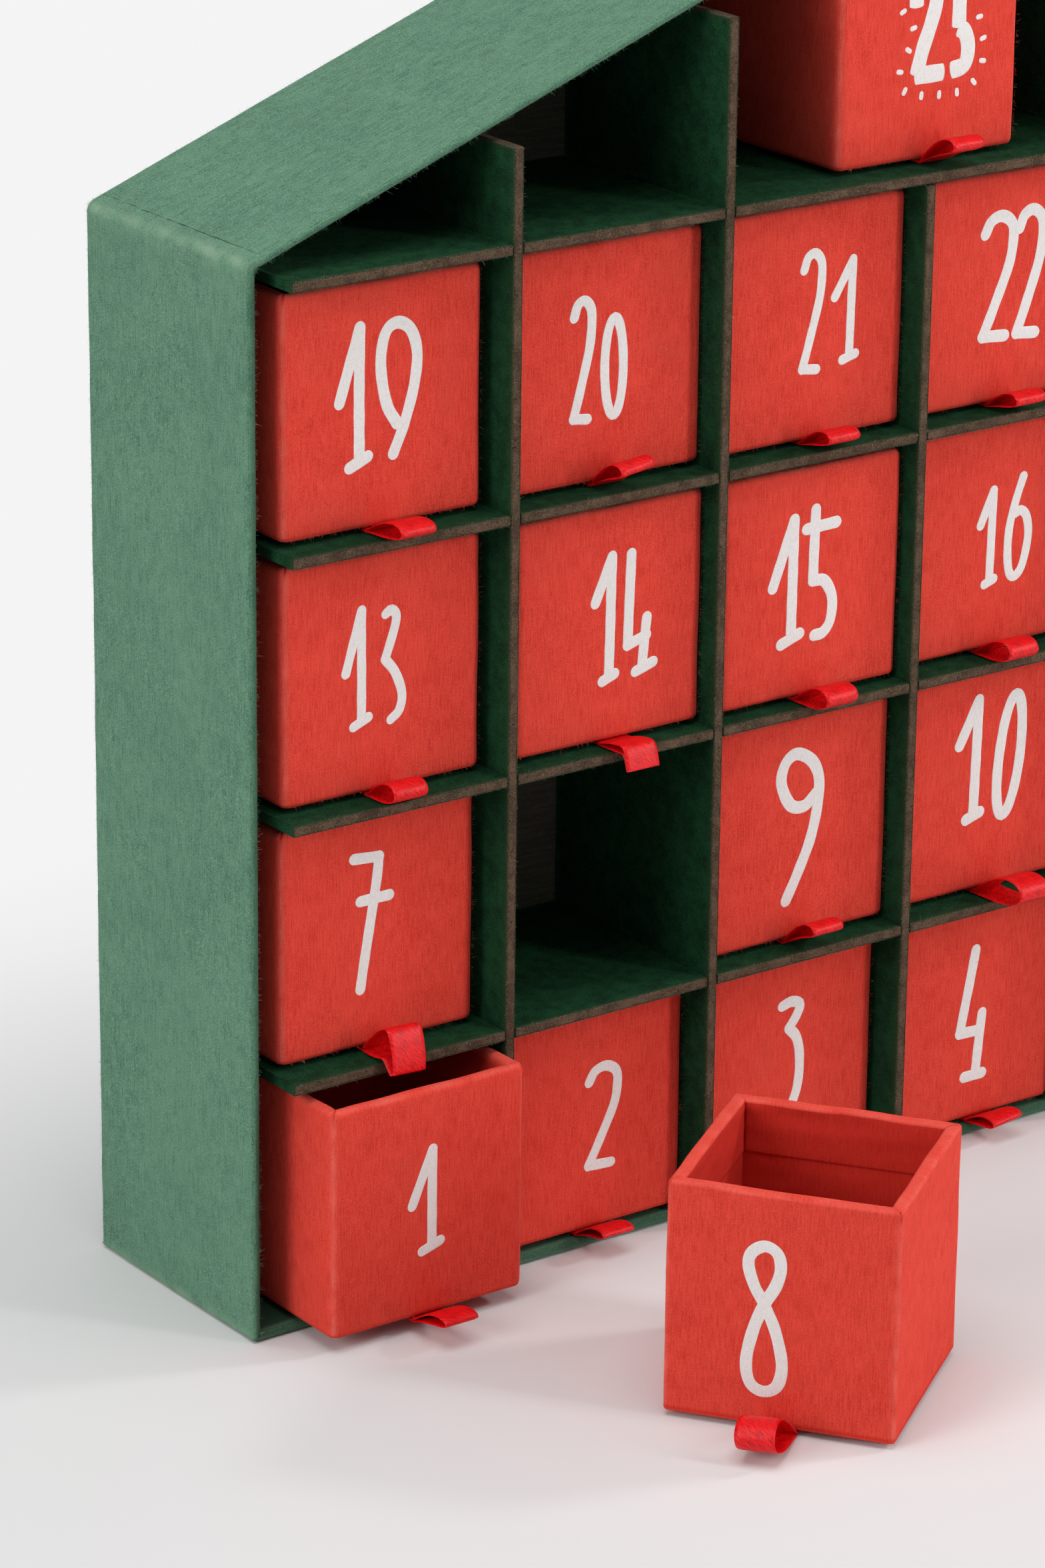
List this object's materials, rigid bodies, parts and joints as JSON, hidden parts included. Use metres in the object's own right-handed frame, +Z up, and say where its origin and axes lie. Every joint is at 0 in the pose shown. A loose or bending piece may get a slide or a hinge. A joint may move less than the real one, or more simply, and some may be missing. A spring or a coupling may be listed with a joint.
{
  "type": "paper advent calendar",
  "caption": "House-shaped paper-wrapped case with a slotted crate of compartments and small numbered red drawers that pull out by ribbon loops.",
  "frame": {"origin": "centre of the case's flat bottom face, on the surface that the case stands on", "axes": "+Z up, +X to the viewer's right, the open front with the drawers faces -Y"},
  "size_m": [0.3824, 0.1975, 0.3338],
  "materials": {
    "green_handmade_paper": "matte",
    "green_crate_board": "matte",
    "red_handmade_paper": "matte",
    "red_satin_ribbon": "satin"
  },
  "bodies": {
    "case": {"case": "green_handmade_paper", "divider_1": "green_crate_board", "divider_2": "green_crate_board", "divider_3": "green_crate_board", "divider_4": "green_crate_board", "divider_5": "green_crate_board", "shelf_1": "green_crate_board", "shelf_2": "green_crate_board", "shelf_3": "green_crate_board", "attic_shelf": "green_crate_board"},
    "drawer_01_and_pull": {"drawer_01": "red_handmade_paper", "ribbon_pull_01": "red_satin_ribbon"},
    "drawer_02_and_pull": {"drawer_02": "red_handmade_paper", "ribbon_pull_02": "red_satin_ribbon"},
    "drawer_03_and_pull": {"drawer_03": "red_handmade_paper", "ribbon_pull_03": "red_satin_ribbon"},
    "drawer_04_and_pull": {"drawer_04": "red_handmade_paper", "ribbon_pull_04": "red_satin_ribbon"},
    "drawer_05_and_pull": {"drawer_05": "red_handmade_paper", "ribbon_pull_05": "red_satin_ribbon"},
    "drawer_06_and_pull": {"drawer_06": "red_handmade_paper", "ribbon_pull_06": "red_satin_ribbon"},
    "drawer_07_and_pull": {"drawer_07": "red_handmade_paper", "ribbon_pull_07": "red_satin_ribbon"},
    "drawer_08_and_pull": {"drawer_08": "red_handmade_paper", "ribbon_pull_08": "red_satin_ribbon"},
    "drawer_09_and_pull": {"drawer_09": "red_handmade_paper", "ribbon_pull_09": "red_satin_ribbon"},
    "drawer_10_and_pull": {"drawer_10": "red_handmade_paper", "ribbon_pull_10": "red_satin_ribbon"},
    "drawer_11_and_pull": {"drawer_11": "red_handmade_paper", "ribbon_pull_11": "red_satin_ribbon"},
    "drawer_12_and_pull": {"drawer_12": "red_handmade_paper", "ribbon_pull_12": "red_satin_ribbon"},
    "drawer_13_and_pull": {"drawer_13": "red_handmade_paper", "ribbon_pull_13": "red_satin_ribbon"},
    "drawer_14_and_pull": {"drawer_14": "red_handmade_paper", "ribbon_pull_14": "red_satin_ribbon"},
    "drawer_15_and_pull": {"drawer_15": "red_handmade_paper", "ribbon_pull_15": "red_satin_ribbon"},
    "drawer_16_and_pull": {"drawer_16": "red_handmade_paper", "ribbon_pull_16": "red_satin_ribbon"},
    "drawer_17_and_pull": {"drawer_17": "red_handmade_paper", "ribbon_pull_17": "red_satin_ribbon"},
    "drawer_18_and_pull": {"drawer_18": "red_handmade_paper", "ribbon_pull_18": "red_satin_ribbon"},
    "drawer_19_and_pull": {"drawer_19": "red_handmade_paper", "ribbon_pull_19": "red_satin_ribbon"},
    "drawer_20_and_pull": {"drawer_20": "red_handmade_paper", "ribbon_pull_20": "red_satin_ribbon"},
    "drawer_21_and_pull": {"drawer_21": "red_handmade_paper", "ribbon_pull_21": "red_satin_ribbon"},
    "drawer_22_and_pull": {"drawer_22": "red_handmade_paper", "ribbon_pull_22": "red_satin_ribbon"},
    "drawer_23_and_pull": {"drawer_23": "red_handmade_paper", "ribbon_pull_23": "red_satin_ribbon"},
    "drawer_24_and_pull": {"drawer_24": "red_handmade_paper", "ribbon_pull_24": "red_satin_ribbon"},
    "drawer_25_and_pull": {"drawer_25": "red_handmade_paper", "ribbon_pull_25": "red_satin_ribbon"}
  },
  "joints": [
    {"name": "drawer_01_slide", "type": "slide", "parent": "case", "child": "drawer_01_and_pull", "axis": [0, -1, 0], "range_m": [-0.01788, 0.04662]},
    {"name": "drawer_02_slide", "type": "slide", "parent": "case", "child": "drawer_02_and_pull", "axis": [0, -1, 0], "range_m": [0, 0.041]},
    {"name": "drawer_03_slide", "type": "slide", "parent": "case", "child": "drawer_03_and_pull", "axis": [0, -1, 0], "range_m": [0, 0.0645]},
    {"name": "drawer_04_slide", "type": "slide", "parent": "case", "child": "drawer_04_and_pull", "axis": [0, -1, 0], "range_m": [0, 0.0645]},
    {"name": "drawer_05_slide", "type": "slide", "parent": "case", "child": "drawer_05_and_pull", "axis": [0, -1, 0], "range_m": [0, 0.0645]},
    {"name": "drawer_06_slide", "type": "slide", "parent": "case", "child": "drawer_06_and_pull", "axis": [0, -1, 0], "range_m": [0, 0.0645]},
    {"name": "drawer_07_slide", "type": "slide", "parent": "case", "child": "drawer_07_and_pull", "axis": [0, -1, 0], "range_m": [0, 0.0645]},
    {"name": "drawer_08_lift", "type": "slide", "parent": "case", "child": "drawer_08_and_pull", "axis": [0, 0, 1], "range_m": [0, 0.06]},
    {"name": "drawer_09_slide", "type": "slide", "parent": "case", "child": "drawer_09_and_pull", "axis": [0, -1, 0], "range_m": [-0.00209, 0.06241]},
    {"name": "drawer_10_slide", "type": "slide", "parent": "case", "child": "drawer_10_and_pull", "axis": [0, -1, 0], "range_m": [-0.00138, 0.06313]},
    {"name": "drawer_11_slide", "type": "slide", "parent": "case", "child": "drawer_11_and_pull", "axis": [0, -1, 0], "range_m": [0, 0.0645]},
    {"name": "drawer_12_slide", "type": "slide", "parent": "case", "child": "drawer_12_and_pull", "axis": [0, -1, 0], "range_m": [-0.00082, 0.06367]},
    {"name": "drawer_13_slide", "type": "slide", "parent": "case", "child": "drawer_13_and_pull", "axis": [0, -1, 0], "range_m": [-0.00138, 0.06313]},
    {"name": "drawer_14_slide", "type": "slide", "parent": "case", "child": "drawer_14_and_pull", "axis": [0, -1, 0], "range_m": [-0.00341, 0.06109]},
    {"name": "drawer_15_slide", "type": "slide", "parent": "case", "child": "drawer_15_and_pull", "axis": [0, -1, 0], "range_m": [-0.0039, 0.0606]},
    {"name": "drawer_16_slide", "type": "slide", "parent": "case", "child": "drawer_16_and_pull", "axis": [0, -1, 0], "range_m": [-0.0011, 0.0634]},
    {"name": "drawer_17_slide", "type": "slide", "parent": "case", "child": "drawer_17_and_pull", "axis": [0, -1, 0], "range_m": [0, 0.0645]},
    {"name": "drawer_18_slide", "type": "slide", "parent": "case", "child": "drawer_18_and_pull", "axis": [0, -1, 0], "range_m": [-0.0022, 0.0623]},
    {"name": "drawer_19_slide", "type": "slide", "parent": "case", "child": "drawer_19_and_pull", "axis": [0, -1, 0], "range_m": [-0.00148, 0.06302]},
    {"name": "drawer_20_slide", "type": "slide", "parent": "case", "child": "drawer_20_and_pull", "axis": [0, -1, 0], "range_m": [-0.00121, 0.06329]},
    {"name": "drawer_21_slide", "type": "slide", "parent": "case", "child": "drawer_21_and_pull", "axis": [0, -1, 0], "range_m": [-0.00181, 0.06269]},
    {"name": "drawer_22_slide", "type": "slide", "parent": "case", "child": "drawer_22_and_pull", "axis": [0, -1, 0], "range_m": [-0.00165, 0.06285]},
    {"name": "drawer_23_slide", "type": "slide", "parent": "case", "child": "drawer_23_and_pull", "axis": [0, -1, 0], "range_m": [-0.0011, 0.0634]},
    {"name": "drawer_24_slide", "type": "slide", "parent": "case", "child": "drawer_24_and_pull", "axis": [0, -1, 0], "range_m": [0, 0.0645]},
    {"name": "drawer_25_slide", "type": "slide", "parent": "case", "child": "drawer_25_and_pull", "axis": [0, -1, 0], "range_m": [-0.00028, 0.06423]}
  ]
}
